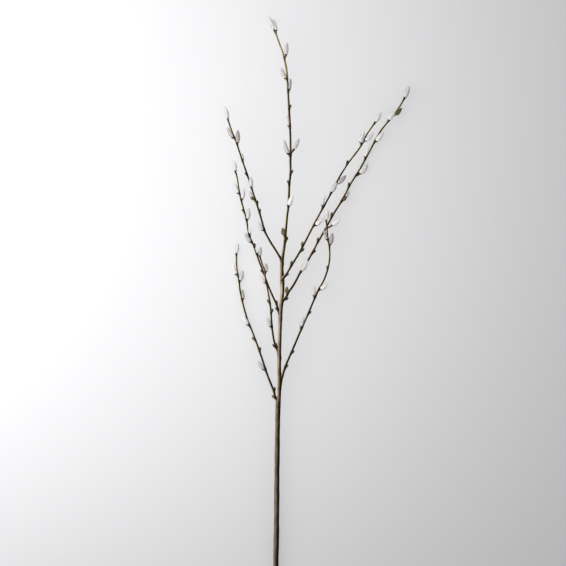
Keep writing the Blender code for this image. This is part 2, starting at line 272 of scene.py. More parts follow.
shoots["rightOuter"] = {
    "node": "right_outer_shoot",
    "route": [
        (-63, 46, 29.6),
        (-60.5, 52, 31.0),
        (-53.4, 60.5, 32.2),
        (-50.2, 67.5, 32.0),
        (-41.2, 80.5, 30.7),
        (-30, 101, 28.0),
        (-15, 125, 24.0),
        (0, 153, 19.0),
        (14.2, 178, 15.0),
        (28.3, 204, 12.5),
        (44.9, 231, 10.0),
        (58.3, 257, 8.3),
        (75.2, 284, 7.4),
        (90, 311, 7.6),
        (112, 351, 9.0),
        (138, 383, 11.0),
        (153.5, 408, 12.5),
    ],
    "diameters": (4.3, 3.0),
    "catkins": [
        (408, 0, 21, 20.5, 9.6, 1, 0.31, 0.25),
        (380, 85, 41, 16.0, 7.0, 0, 0, 0.97),
        (369, -30, 36, 17.0, 8.8, 0, 0.04, 0.2),
        (333, 60, 40, 20.5, 8.8, 0, 0, 0.25),
        (303, -80, 21, 20.0, 5.2, 0, 0, 0.3),
        (272, 115, 41, 22.0, 10.4, 7, 0.17, 0.2),
        (229, 70, 33, 19.0, 5.2, 0, 0.81, 0.8),
        (105, 5, 33, 20.5, 8.8, 0, 0.29, 0.2),
    ],
    "buds": [
        (257, -80, 7.0, 0.2),
        (204, -80, 8.0, 0.6),
        (160, -75, 7.0, 0.4),
        (141, 85, 7.5, 0.1),
        (71, -75, 13.0, 0.9),
        (59.5, 88, 8.5, 0.0),
    ],
}
shoots["rightLow"] = {
    "node": "right_low_shoot",
    "route": [
        (-65.5, -102, 23.5),
        (-63.5, -92, 24.0),
        (-61.5, -82, 24.4),
        (-54.2, -59, 25.2),
        (-43.8, -35, 26.2),
        (-27.8, 3, 27.6),
        (-13.1, 36, 29.0),
        (0.5, 68, 30.5),
        (14.4, 95, 31.6),
        (21.3, 122, 32.6),
        (21.5, 147, 33.2),
        (18.5, 165, 33.8),
        (17, 180, 34.2),
        (16, 194, 34.6),
    ],
    "diameters": (4.5, 3.0),
    "catkins": [
        (195, 0, 6, 18.0, 8.0, 0, 0.17, 0.2),
        (180, 90, 54, 19.0, 8.0, 8, 0, 0.25),
        (160, -75, -17, 17.0, 6.2, 0, 0.87, 0.3),
        (151, 85, 11, 19.0, 8.0, 0, 0.89, 0.25),
        (74, 85, 49, 17.5, 8.8, 0, 0, 0.2),
        (60, -70, 2, 18.5, 7.0, 0, 0.3, 0.3),
        (6, -70, 18, 17.5, 7.0, 0, 0.32, 0.25),
    ],
    "buds": [
        (34, 85, 7.0, 0.1),
        (-35, 80, 7.0, 0.1),
        (-60, 85, 7.0, 0.1),
        (112, -80, 5.5, 0.4),
    ],
}


# shader maths: one class wraps a socket, and expressions add their nodes
class Look:
    def __init__(self, finish, socket):
        self.finish = finish
        self.socket = socket

    def maths(self, operation, *terms):
        return self.finish.add("ShaderNodeMath", {"operation": operation}, dict(enumerate(terms)))

    def __add__(self, other):
        return self.maths("ADD", self, other)

    __radd__ = __add__

    def __mul__(self, other):
        return self.maths("MULTIPLY", self, other)

    __rmul__ = __mul__

    def __sub__(self, other):
        return self.maths("SUBTRACT", self, other)

    def __rsub__(self, other):
        return self.maths("SUBTRACT", other, self)

    def clamped(self):
        return self.finish.add("ShaderNodeClamp", {}, {"Value": self})

    def band(self, low, high):  # 0 below low, 1 above high, smooth between
        sockets = {"Value": self, "From Min": low, "From Max": high}
        return self.finish.add("ShaderNodeMapRange", {"interpolation_type": "SMOOTHSTEP"}, sockets)

    def layer(self, low, high, share):
        return self.band(low, high) * share

    def stretched(self, scales):
        return self.finish.add("ShaderNodeVectorMath", {"operation": "MULTIPLY"}, {0: self, 1: scales})


def rgb(colour):
    return (*colour, 1)


class Finish:
    def __init__(self, name, **fixed):  # fixed values go straight to the shader's sockets
        self.material = bpy.data.materials.new(name)
        self.material.use_nodes = True
        self.nodes = self.material.node_tree.nodes
        self.links = self.material.node_tree.links
        for name, value in fixed.items():
            self.shaderInput(name).default_value = value

    def shaderInput(self, name):
        return self.nodes["Principled BSDF"].inputs[name.replace("_", " ")]

    def add(self, kind, settings, sockets, output=0):
        node = self.nodes.new(kind)
        for name, value in settings.items():
            if name == "stops":
                ramp = node.color_ramp
                while len(ramp.elements) < len(value):
                    ramp.elements.new(0.5)
                for element, (place, colour) in zip(ramp.elements, value):
                    element.position = place
                    element.color = rgb(colour)
            else:
                setattr(node, name, value)
        for socket, value in sockets.items():
            if isinstance(value, Look):
                self.links.new(value.socket, node.inputs[socket])
            else:
                node.inputs[socket].default_value = value
        return Look(self, node.outputs[output])

    def attribute(self, name, output="Fac"):
        return self.add("ShaderNodeAttribute", {"attribute_name": name}, {}, output)

    def noise(self, place, scale, detail, roughness):
        sockets = {"Vector": place, "Scale": scale, "Detail": detail, "Roughness": roughness}
        return self.add("ShaderNodeTexNoise", {}, sockets)

    def ramp(self, value, stops):
        return self.add("ShaderNodeValToRGB", {"stops": stops}, {"Fac": value})

    def mix(self, first, second, share):
        first, second = (colour if isinstance(colour, Look) else rgb(colour) for colour in (first, second))
        return self.add("ShaderNodeMix", {"data_type": "RGBA"}, {0: share, 6: first, 7: second}, 2)

    def bump(self, height, strength, distance):
        return self.add("ShaderNodeBump", {}, {"Height": height, "Strength": strength, "Distance": distance})

    def wire(self, **varying):
        for name, value in varying.items():
            self.links.new(value.socket, self.shaderInput(name))
        return self.material


# bark: ruddy patches, fine lengthwise streaks, pale pores and leaf scars, and painted shade on the side away
# from the window
barkLook = {
    "gloss": 0.03,
    "roughness": (0.4, 0.3),  # the least, and what the streaks add
    "patchStretch": (1, 1, 0.35),
    "patchNoise": (0.16, 5, 0.62),  # scale, detail and roughness, as in every noise below
    "streakStretch": (1, 1, 0.07),
    "streakNoise": (1.5, 6, 0.7),
    "fineStretch": (1, 1, 0.16),
    "fineNoise": (4.5, 4, 0.65),
    "poreStretch": (1, 1, 0.55),
    "poreScale": 0.42,
    "poreSize": 0.16,
    "poreHeart": 0.55,
    "lipFrom": 0.8,
    "lipTo": 1.7,
    "tintLayer": (0.54, 0.78, 0.5),  # from and to where in the noise, and its share
    "darkBand": (0.28, 0.46),
    "darkShare": 0.6,
    "fineLayer": (0.56, 0.72, 0.35),
    "patchWander": 0.9,
    "streakWander": 0.5,
    "shadeShare": 0.98,
    "knotShare": 0.9,
    "lipShare": 0.5,
    "poreColour": (0.3, 0.23, 0.13),
    "scarColour": (0.2, 0.145, 0.08),
    "markShare": 0.45,
    # poreLost and scarLost: how much of the pores and scars the painted shade covers
    "poreLost": 0.38,  # what the dark side hides of the pores
    "scarLost": 0.2,
    "relief": (0.55, 0.35, 0.8, 0.3),  # of streaks, fine lines, pores and scars
    "bump": (0.8, 0.0004),  # strength, and depth in metres
}


def makeBark(name, look):
    bark = Finish(name, Metallic=0, Specular_IOR_Level=barkLook["gloss"])
    flow = bark.attribute("flow", "Vector")
    along = bark.attribute("along")
    knot = bark.attribute("nodeDark")
    scar = bark.attribute("scar")
    away = bark.attribute("away")
    base = bark.ramp(along, look["stops"])
    patches = bark.noise(flow.stretched(barkLook["patchStretch"]), *barkLook["patchNoise"])
    streaks = bark.noise(flow.stretched(barkLook["streakStretch"]), *barkLook["streakNoise"])
    fine = bark.noise(flow.stretched(barkLook["fineStretch"]), *barkLook["fineNoise"])
    poreSpread = {"Vector": flow.stretched(barkLook["poreStretch"]), "Scale": barkLook["poreScale"]}
    pores = bark.add("ShaderNodeTexVoronoi", {}, poreSpread, "Distance")
    size = barkLook["poreSize"]
    pore = 1 - pores.band(size * barkLook["poreHeart"], size)
    lip = pores.band(size * barkLook["lipFrom"], size) * (1 - pores.band(size, size * barkLook["lipTo"]))
    dark = look["dark"]
    colour = bark.mix(base, look["ruddy"], patches.layer(*look["ruddyLayer"]))
    colour = bark.mix(colour, look["tint"], streaks.layer(*barkLook["tintLayer"]))
    colour = bark.mix(colour, dark, (1 - streaks.band(*barkLook["darkBand"])) * barkLook["darkShare"])
    colour = bark.mix(colour, dark, fine.layer(*barkLook["fineLayer"]))
    # painted shade on the side away from the window: its edge wanders with patches and streaks, and comes
    # further round on the upper stem
    paintedShade = away + (patches - 0.5) * barkLook["patchWander"] + (streaks - 0.5) * barkLook["streakWander"]
    paintedShade = (paintedShade + along.layer(*look["upperShade"])).band(*look["shadeBand"])
    shadeShare = barkLook["shadeShare"] - along.layer(*look["topLight"])
    colour = bark.mix(colour, dark, paintedShade * shadeShare)
    colour = bark.mix(colour, dark, (knot * barkLook["knotShare"]).clamped())
    colour = bark.mix(colour, dark, lip * barkLook["lipShare"])
    poreShare = pore * (barkLook["markShare"] - paintedShade * barkLook["poreLost"])
    colour = bark.mix(colour, barkLook["poreColour"], poreShare)
    scarShare = scar * (barkLook["markShare"] - paintedShade * barkLook["scarLost"])
    colour = bark.mix(colour, barkLook["scarColour"], scarShare)
    relief = barkLook["relief"]
    height = streaks * relief[0] + fine * relief[1] + pore * relief[2] + scar * relief[3]
    least, more = barkLook["roughness"]
    return bark.wire(
        Base_Color=colour,
        Roughness=least + streaks * more,
        Normal=bark.bump(height, *barkLook["bump"]),
    )


# the leader's bark: grey-brown below the collars, paler above them, olive towards the tip
leaderLook = {
    "stops": [
        (0.0, (0.15, 0.122, 0.088)),
        (0.2, (0.16, 0.128, 0.09)),
        (0.385, (0.17, 0.136, 0.094)),
        (0.397, (0.27, 0.21, 0.11)),
        (0.408, (0.26, 0.205, 0.085)),
        (0.43, (0.24, 0.19, 0.055)),
        (0.455, (0.3, 0.235, 0.145)),
        (0.5, (0.4, 0.32, 0.215)),
        (0.57, (0.42, 0.335, 0.215)),
        (0.615, (0.28, 0.205, 0.11)),
        (0.66, (0.4, 0.33, 0.12)),
        (0.76, (0.4, 0.32, 0.13)),
        (0.83, (0.4, 0.3, 0.15)),
        (0.9, (0.46, 0.38, 0.15)),
        (1.0, (0.52, 0.44, 0.16)),
    ],
    "dark": (0.008, 0.0045, 0.003),
    "ruddy": (0.085, 0.048, 0.026),
    "ruddyLayer": (0.42, 0.6, 0.4),
    "tint": (0.34, 0.27, 0.16),
    # shadeBand, upperShade and topLight place the painted shade: where it starts and is full, how far it comes
    # round up the stem, how much of it the tip loses
    "shadeBand": (-0.55, 0.35),
    "upperShade": (0.58, 0.7, 0.58),  # from and to where along the stem, and its share
    "topLight": (0.86, 0.97, 0.4),
}

# the shoots' bark: young, warmer, with a wide band of painted shade on the side away from the window
shootLook = {
    "stops": [
        (0.0, (0.42, 0.34, 0.21)),
        (0.15, (0.46, 0.37, 0.23)),
        (0.45, (0.48, 0.4, 0.24)),
        (0.65, (0.52, 0.44, 0.22)),
        (0.85, (0.55, 0.48, 0.2)),
        (1.0, (0.58, 0.5, 0.2)),
    ],
    "dark": (0.008, 0.0032, 0.0022),
    "ruddy": (0.075, 0.032, 0.016),
    "ruddyLayer": (0.42, 0.6, 0.25),
    "tint": (0.62, 0.54, 0.34),
    "shadeBand": (-0.8, -0.42),
    "upperShade": (0.58, 0.7, 0),
    "topLight": (0.86, 0.97, 0.04),
}


# bud scales: glossy, dark brown to olive, finely lined, paler at the rim
scaleLook = {
    "gloss": 0.25,
    "roughness": (0.28, 0.25),
    "lineStretch": (1.6, 1.6, 0.25),
    "lineNoise": (1.4, 4, 0.6),
    "blotchNoise": (0.35, 3, 0.5),
    "blotchShare": 0.6,
    "brown": (0.01, 0.005, 0.003),
    "olive": (0.11, 0.087, 0.024),
    "lineColour": (0.07, 0.03, 0.012),
    "lineLayer": (0.5, 0.7, 0.25),
    "rimColour": (0.16, 0.11, 0.05),
    "rimLayer": (0.85, 1.0, 0.2),
    "bump": (0.35, 0.0002),
}


def makeScale():
    scale = Finish("budScale", Metallic=0, Specular_IOR_Level=scaleLook["gloss"])
    olive = scale.attribute("olive")
    up = scale.attribute("up")
    flow = scale.attribute("flow", "Vector")
    lines = scale.noise(flow.stretched(scaleLook["lineStretch"]), *scaleLook["lineNoise"])
    blotch = scale.noise(flow, *scaleLook["blotchNoise"])
    share = (olive + blotch * scaleLook["blotchShare"] - scaleLook["blotchShare"] / 2).clamped()
    colour = scale.mix(scaleLook["brown"], scaleLook["olive"], share)
    colour = scale.mix(colour, scaleLook["lineColour"], lines.layer(*scaleLook["lineLayer"]))
    colour = scale.mix(colour, scaleLook["rimColour"], up.layer(*scaleLook["rimLayer"]))
    least, more = scaleLook["roughness"]
    return scale.wire(
        Base_Color=colour,
        Roughness=least + lines * more,
        Normal=scale.bump(lines, *scaleLook["bump"]),
    )


# the catkin's body: grey felt with dark specks of its tiny scales
coreLook = {
    "roughness": 0.85,
    "speckNoise": (1.3, 3, 0.6),
    "stops": [(0.3, (0.2, 0.185, 0.165)), (0.5, (0.5, 0.485, 0.475))],
    "bump": (0.6, 0.0004),
}


def makeCore():
    core = Finish("catkinCore", Metallic=0, Roughness=coreLook["roughness"])
    speck = core.noise(core.attribute("flow", "Vector"), *coreLook["speckNoise"])
    colour = core.ramp(speck, coreLook["stops"])
    return core.wire(Base_Color=colour, Normal=core.bump(speck, *coreLook["bump"]))


# the fur: darker at the root, silver white at the tip, greyer on some catkins and painted paler where a catkin
# lies in shade, and painted shade on single hairs
furLook = {
    "roughness": 0.55,
    "sheen": 0.25,
    "sheenRoughness": 0.4,
    "paleRoot": (0.66, 0.65, 0.64),
    "paleTip": (0.8, 0.8, 0.795),
    "paleBand": (0.0, 0.8),
    "greyRoot": (0.12, 0.11, 0.105),
    "greyTip": (0.3, 0.285, 0.275),
    "greyBand": (0.0, 0.9),
    "shade": (0.36, 0.34, 0.33),
    "shadeShare": 0.3,
}


def makeFur():
    fur = Finish(
        "catkinFur",
        Metallic=0,
        Roughness=furLook["roughness"],
        Sheen_Weight=furLook["sheen"],
        Sheen_Roughness=furLook["sheenRoughness"],
    )
    up = fur.attribute("up")
    pale = fur.mix(furLook["paleRoot"], furLook["paleTip"], up.band(*furLook["paleBand"]))
    grey = fur.mix(furLook["greyRoot"], furLook["greyTip"], up.band(*furLook["greyBand"]))
    # tone: each catkin's own greyness, partly painted light that makes catkins lying in shade paler
    colour = fur.mix(pale, grey, fur.attribute("tone"))
    colour = fur.mix(colour, furLook["shade"], fur.attribute("shade") * furLook["shadeShare"])
    return fur.wire(Base_Color=colour)


# cut wood: pith, pale rings and a dark rim of bark
woodLook = {
    "roughness": 0.7,
    "grainNoise": (2.5, 4, 0.6),
    "ringPace": 7,  # radians a millimetre
    "ringWander": 3,
    "rampPerMm": 0.2,
    "stops": [
        (0.0, (0.2, 0.13, 0.06)),
        (0.12, (0.24, 0.16, 0.08)),
        (0.16, (0.55, 0.43, 0.26)),
        (0.8, (0.6, 0.5, 0.32)),
        (0.84, (0.2, 0.2, 0.06)),
        (0.92, (0.08, 0.06, 0.04)),
    ],
    "ringColour": (0.42, 0.31, 0.17),
    "ringLayer": (0.3, 1.0, 0.35),
    "bump": (0.4, 0.0002),
}


def makeCutWood():
    wood = Finish("cutWood", Metallic=0, Roughness=woodLook["roughness"])
    flow = wood.attribute("flow", "Vector")
    flat = flow.stretched((1, 1, 0))
    radial = wood.add("ShaderNodeVectorMath", {"operation": "LENGTH"}, {0: flat}, "Value")
    grain = wood.noise(flow, *woodLook["grainNoise"])
    wave = radial * woodLook["ringPace"] + grain * woodLook["ringWander"]
    rings = wave.maths("SINE", wave)
    colour = wood.ramp(radial * woodLook["rampPerMm"], woodLook["stops"])
    colour = wood.mix(colour, woodLook["ringColour"], rings.layer(*woodLook["ringLayer"]))
    return wood.wire(Base_Color=colour, Normal=wood.bump(grain, *woodLook["bump"]))


leaderBark = makeBark("leaderBark", leaderLook)
shootBark = makeBark("shootBark", shootLook)
scaleFinish = makeScale()
coreFinish = makeCore()
furFinish = makeFur()
cutFinish = makeCutWood()
print("finishes made")


# geometry helpers, all in mm until a mesh is written
def unit(vectors):
    return vectors / np.maximum(np.linalg.norm(vectors, axis=-1, keepdims=True), 1e-9)


def bell(distance, width):
    return np.exp(-((distance / width) ** 2))


def turnsRound(sides):
    return np.arange(sides) * 2 * math.pi / sides


def evenLine(points, step):  # a smooth line through the points, in even steps
    points = np.array(points, float)
    chords = np.linalg.norm(np.diff(points[:, :3], axis=0), axis=1)
    reached = np.concatenate([[0], np.cumsum(chords)])
    before = np.maximum(np.arange(len(points)) - 1, 0)
    after = np.minimum(np.arange(len(points)) + 1, len(points) - 1)
    tangents = (points[after] - points[before]) / (reached[after] - reached[before])[:, None]
    even = np.linspace(0, reached[-1], max(2, round(reached[-1] / step)))
    span = np.clip(np.searchsorted(reached, even, side="right") - 1, 0, len(points) - 2)
    size = (reached[span + 1] - reached[span])[:, None]
    t = (even - reached[span])[:, None] / size
    line = (
        (2 * t**3 - 3 * t**2 + 1) * points[span]
        + (t**3 - 2 * t**2 + t) * size * tangents[span]
        + (3 * t**2 - 2 * t**3) * points[span + 1]
        + (t**3 - t**2) * size * tangents[span + 1]
    )
    return line, even


def stemAxes(line):
    forward = unit(np.gradient(line[:, :3], axis=0))
    right = unit(np.cross(forward, (0, 0, 1)))
    return forward, right, np.cross(right, forward)


class Growth:  # collects the vertices, faces and attributes of one piece
    def __init__(self):
        self.places = []
        self.faces = []
        self.values = {}
        self.count = 0

    def take(self, places, *faceSets, **values):
        self.places.append(places)
        self.faces += [np.asarray(faces) + self.count for faces in faceSets]
        self.count += len(places)
        for name, value in values.items():
            shape = (len(places), 3) if name in ("flow", "softNormal") else (len(places),)
            self.values.setdefault(name, []).append(np.broadcast_to(np.asarray(value, float), shape))

    def piece(self, name, material, slot):
        places = np.concatenate(self.places) * mm
        corners = np.concatenate([faces.reshape(-1) for faces in self.faces])
        sizes = np.concatenate([np.full(len(faces), faces.shape[1]) for faces in self.faces])
        mesh = bpy.data.meshes.new(name)
        mesh.vertices.add(len(places))
        mesh.vertices.foreach_set("co", places.reshape(-1))
        mesh.loops.add(len(corners))
        mesh.loops.foreach_set("vertex_index", corners)
        mesh.polygons.add(len(sizes))
        mesh.polygons.foreach_set("loop_start", np.concatenate([[0], np.cumsum(sizes)[:-1]]))
        mesh.update(calc_edges=True)
        mesh.validate()
        for key, parts in self.values.items():
            values = np.concatenate(parts)
            if key == "softNormal":
                mesh.shade_smooth()
                mesh.normals_split_custom_set_from_vertices(values.tolist())
                continue
            kind, field = ("FLOAT_VECTOR", "vector") if values.ndim == 2 else ("FLOAT", "value")
            mesh.attributes.new(key, kind, "POINT").data.foreach_set(field, values.reshape(-1))
        mesh.shade_smooth()
        mesh.materials.append(material)
        made = bpy.data.objects.new(name, mesh)
        bpy.context.scene.collection.objects.link(made)
        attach(made, "root")
        return made


def gridFaces(rows, columns):  # quads of a grid that closes round its columns
    row, column = np.meshgrid(np.arange(rows - 1), np.arange(columns), indexing="ij")
    following = (column + 1) % columns
    lower, upper = row * columns, (row + 1) * columns
    quads = [lower + column, lower + following, upper + following, upper + column]
    return np.stack(quads, -1).reshape(-1, 4)


# a stem: swellings and leaf scars at its knots, gentle unevenness, fillets at its joints, rounded tip
stemShape = {
    "ringStep": 1.1,
    "leaderSides": 28,
    "shootSides": 18,
    "swelling": 0.42,
    "swellingReach": 2.6,
    "swellingBehind": 0.35,
    "scarDrop": 2.6,
    "scarTilt": 0.9,
    "scarNarrowing": 1.5,
    "scarHeight": 0.42,
    "scarThickness": 0.55,
    "unevenness": 0.035,
    "leanWave": (0.21, 0.7),  # radians a millimetre and where it starts, as in the next
    "ovalWave": (0.083, 2),
    "knotRise": 0.5,
    "knotReach": 5,
    "knotDark": 0.55,
    "knotDarkFacing": 0.45,
    "webDepth": 1.0,
    "webReach": 1.3,
    "webDark": 0.35,
    "webDarkReach": 3.5,
    "webSearch": 12,
    "forkRows": 40,
    "endDark": 0.3,
    "tipCrown": 0.4,
    "tipGap": 0.4,
    "tipTaper": 0.9,
}


def clearOf(places, line, radii):  # how far each place is outside a stem, negative inside it
    gaps = np.linalg.norm(places[:, None] - line[None, :, :3], axis=-1) - radii[None]
    return gaps.min(1)


def growStem(growth, line, travelled, radii, knots, sides, joined=()):
    forward, right, up = stemAxes(line)
    rows = len(line)
    angle = turnsRound(sides)
    radius = np.repeat(radii[:, None], sides, 1)
    leanPace, leanStart = stemShape["leanWave"]
    ovalPace, ovalStart = stemShape["ovalWave"]
    leaning = np.sin(travelled * leanPace)[:, None] * np.cos(angle + leanStart)
    oval = np.sin(travelled * ovalPace + ovalStart)[:, None] * np.cos(2 * angle)
    radius = radius * (1 + stemShape["unevenness"] * (leaning + oval))
    scars = np.zeros_like(radius)
    nodeDark = np.zeros_like(radius)
    behind = stemShape["swellingBehind"]
    for place, turn, size in knots:
        facing = np.cos(angle - math.radians(turn))
        swell = bell(travelled - place, stemShape["swellingReach"] * size)[:, None]
        swell = swell * (behind + (1 - behind) * facing.clip(0))
        radius = radius + radii[:, None] * stemShape["swelling"] * size * swell
        scarPlace = place - stemShape["scarDrop"] - stemShape["scarTilt"] * (1 - facing)[None, :]
        crescent = bell(travelled[:, None] - scarPlace, stemShape["scarThickness"])
        crescent = crescent * (facing.clip(0) ** stemShape["scarNarrowing"])
        radius = radius + stemShape["scarHeight"] * crescent * size
        scars = np.maximum(scars, crescent)
        knotDark = bell(travelled - place - stemShape["knotRise"], stemShape["knotReach"])[:, None]
        knotDark = knotDark * (stemShape["knotDark"] + stemShape["knotDarkFacing"] * facing)
        nodeDark = np.maximum(nodeDark, knotDark)
    ring = np.cos(angle)[None, :, None] * up[:, None] + np.sin(angle)[None, :, None] * right[:, None]
    bare = line[:, None, :3] + ring * radius[..., None]
    for otherLine, otherRadii in joined:
        near = clearOf(line[:, :3], otherLine, otherRadii) < stemShape["webSearch"]
        apart = clearOf(bare[near].reshape(-1, 3), otherLine, otherRadii).reshape(-1, sides)
        radius[near] += stemShape["webDepth"] * np.exp(-np.abs(apart) / stemShape["webReach"])
        webDark = stemShape["webDark"] * np.exp(-np.abs(apart) / stemShape["webDarkReach"])
        nodeDark[near] = np.maximum(nodeDark[near], webDark)
    places = line[:, None, :3] + ring * radius[..., None]
    reached = np.repeat(travelled[:, None], sides, 1)
    flow = np.stack([np.cos(angle)[None] * radius, np.sin(angle)[None] * radius, reached], -1)
    share = np.repeat((travelled / travelled[-1])[:, None], sides, 1)
    # away places the painted shade on the bark's side away from the window
    away = np.cos(angle - math.pi / 2)  # 1 on the right, away from the window, and -1 towards it
    growth.take(
        places.reshape(-1, 3),
        gridFaces(rows, sides)[:, ::-1],
        flow=flow.reshape(-1, 3),
        along=share.reshape(-1),
        scar=scars.reshape(-1),
        nodeDark=nodeDark.reshape(-1),
        away=np.tile(away, rows),
    )
    # a fan of faces round a middle point closes each end, flat at the foot and crowned at the tip
    fan = np.array([[sides, k, (k + 1) % sides] for k in range(sides)])
    for row, crown, faces in ((0, 0, fan), (rows - 1, stemShape["tipCrown"], fan[:, ::-1])):
        middle = line[row, :3] + forward[row] * radii[row] * crown
        growth.take(
            np.vstack([places[row], middle]),
            faces,
            flow=np.vstack([flow[row], (0, 0, travelled[row])]),
            along=share[row, 0],
            scar=0,
            nodeDark=stemShape["endDark"],
            away=0,
        )


def atHeight(line, travelled, y):
    index = int(np.clip(np.searchsorted(line[:, 1], y), 1, len(line) - 1))
    share = np.clip((y - line[index - 1, 1]) / (line[index, 1] - line[index - 1, 1]), 0, 1)
    forward = unit(line[index, :3] - line[index - 1, :3])
    place = line[index - 1] + (line[index] - line[index - 1]) * share
    return place[:3], forward, travelled[index - 1] + (travelled[index] - travelled[index - 1]) * share


def outward(forward, turn):
    right = unit(np.cross(forward, (0, 0, 1)))
    up = np.cross(right, forward)
    angle = math.radians(turn)
    return right * math.sin(angle) + up * math.cos(angle)


# a catkin stands as its solid does: egg-shaped, widest below its middle, a little bowed
catkinShape = {
    "taper": 0.26,
    "lift": 14,
    "wobble": 4,
    "bend": (-0.3, 0.02),
    "footOut": 0.1,
    "tipReach": 0.05,
    "coreWidth": 0.84,
    "coreLength": 0.94,
    "coreRows": 14,
    "coreSides": 16,
    "coreEnd": 0.02,
    "closedCover": 0.9,  # a catkin with more of it under the scale is a closed bud
    "closedLength": 1.2,
    "knot": 1.5,
}


def eggRadius(z, width):
    return width / 2 * np.sqrt(np.clip(1 - z**2, 0, 1)) * (1 - catkinShape["taper"] * z)


def eggSurface(z, turn, width, length, axes):
    pointing, out, across, bend = axes
    radius = eggRadius(z, width)
    step = 0.01
    slope = (eggRadius(z + step, width) - eggRadius(z - step, width)) / (2 * step * length / 2)
    side = np.cos(turn)[:, None] * out + np.sin(turn)[:, None] * across
    axial = (z + 1)[:, None] * length / 2
    place = pointing * axial + side * radius[:, None] + out * bend * (axial**2 / length - axial)
    return place, unit(side - pointing * slope[:, None]), side


def eggFlow(z, turn, width, length):  # where the finish's noise is read
    return np.stack([np.cos(turn) * width / 2, np.sin(turn) * width / 2, z * length / 2], -1).reshape(-1, 3)


def growCore(growth, foot, axes, length, width):
    rows, sides, end = catkinShape["coreRows"], catkinShape["coreSides"], catkinShape["coreEnd"]
    z = np.repeat(-np.cos(np.linspace(end, math.pi - end, rows)), sides)
    turn = np.tile(turnsRound(sides), rows)
    place, _, _ = eggSurface(z, turn, width, length, axes)
    growth.take(foot + place, gridFaces(rows, sides), flow=eggFlow(z, turn, width, length) + foot)


# the fur: tufts of two-part hairs in a spiral up the catkin, laid towards its tip and closing over it
furShape = {
    "tufts": 190,
    "usualLength": 19,
    "usualWidth": 8,
    "tuftPower": 0.7,
    "span": (-1.05, 1.45),
    "startTurn": 6,
    "hairs": 16,
    "heightSpread": 0.05,
    "turnSpread": 0.2,
    "underScale": 1.8,
    "top": 0.985,
    "rise": (0.3, 0.75),
    "forward": 0.8,
    "sideSpread": 0.16,
    "closeFrom": 0.1,
    "lateRise": 0.35,
    "lateSpread": 1.2,
    "closing": 0.4,
    "footBelow": -0.6,
    "footShorter": 0.3,
    "tipAbove": 0.75,
    "tipLonger": 0.12,
    "hairLength": 2.7,
    "lengthPower": 0.6,
    "lengthSpread": (0.7, 1.15),
    "lowerShare": 0.5,
    "upperShare": 0.55,
    "middleUp": 0.55,
    "twist": 0.25,
    "hairWidth": 0.06,
    "widthSpread": (0.7, 1.2),
    "waist": 0.7,
    "softness": (0.8, 0.15, 0.1),  # the shading follows the catkin more than the single hair
    "shadePower": 3,
    "floorGap": 0.02,
}


def growFur(growth, foot, axes, length, width, tone, cover):
    pointing = axes[0]
    girth = width / furShape["usualWidth"]
    tufts = round(furShape["tufts"] * (length / furShape["usualLength"]) * girth ** furShape["tuftPower"])
    hairs = furShape["hairs"]
    z = np.sin(np.linspace(*furShape["span"], tufts))
    turn = np.arange(tufts) * goldenTurn + dice.uniform(0, furShape["startTurn"])
    z = np.repeat(z, hairs) + dice.normal(0, furShape["heightSpread"], tufts * hairs)
    turn = np.repeat(turn, hairs) + dice.normal(0, furShape["turnSpread"], tufts * hairs)
    z = z.clip(-1 + furShape["underScale"] * scaleReach(cover), furShape["top"])
    count = len(z)
    coreWidth, coreLength = width * catkinShape["coreWidth"], length * catkinShape["coreLength"]
    root, normal, side = eggSurface(z, turn, coreWidth, coreLength, axes)
    rise = dice.uniform(*furShape["rise"], count)[:, None]
    sideways = np.cross(pointing, normal)
    spread = dice.normal(0, furShape["sideSpread"], count)[:, None]
    early = unit(normal * rise + pointing * furShape["forward"] + sideways * spread)
    closing = ((z[:, None] - furShape["closeFrom"]) / (1 - furShape["closeFrom"])).clip(0, 1)
    late = normal * rise * furShape["lateRise"] + pointing + sideways * spread * furShape["lateSpread"]
    late = unit(late - side * furShape["closing"] * closing)
    near = 1 - furShape["footShorter"] * (z < furShape["footBelow"])
    near = near + furShape["tipLonger"] * (z > furShape["tipAbove"])
    reach = furShape["hairLength"] * girth ** furShape["lengthPower"]
    reach = reach * dice.uniform(*furShape["lengthSpread"], count) * near
    middle = root + early * (reach * furShape["lowerShare"])[:, None]
    tip = middle + late * (reach * furShape["upperShare"])[:, None]
    flat = unit(np.cross(early, normal) + normal * dice.normal(0, furShape["twist"], count)[:, None])
    half = flat * (furShape["hairWidth"] * dice.uniform(*furShape["widthSpread"], count)[:, None])
    waist = half * furShape["waist"]
    places = np.stack([root - half, root + half, middle + waist, middle - waist, tip], 1)
    points = places.shape[1]
    start = np.arange(count)[:, None] * points
    alongNormal, alongHair, alongTip = furShape["softness"]
    soft = normal * alongNormal + unit(np.cross(flat, early)) * alongHair + pointing * alongTip
    places = (foot + places).reshape(-1, 3)
    places[:, 2] = places[:, 2].clip(furShape["floorGap"])
    growth.take(
        places,
        start + [0, 1, 2, 3],
        start + [3, 2, 4],
        up=np.tile([0, 0, furShape["middleUp"], furShape["middleUp"], 1], count),
        tone=tone,
        shade=np.repeat(dice.uniform(0, 1, count) ** furShape["shadePower"], points),
        softNormal=np.repeat(unit(soft)[:, None], points, 1).reshape(-1, 3),
    )


# the brown scale that holds a catkin: a thin hood, taller and pointed on its outer side
scaleShape = {
    "rows": 10,
    "sides": 22,
    "thickness": 0.28,
    "stand": 0.35,
    "flare": 1.4,
    "flareHeight": 0.6,
    "drop": 0.9,
    "foot": 0.995,
    "rowCrowding": 0.85,
    "pointing": 1.6,
    "rimWaver": 0.012,
    "innerShare": 0.7,
    "shortShare": 0.6,
    "tallCover": 0.45,
    "tallOlive": 0.5,
    "oliveSpread": 0.15,
}


def scaleReach(cover):  # short scales reach less far up than their number says
    return cover if cover > scaleShape["tallCover"] else cover * scaleShape["shortShare"]


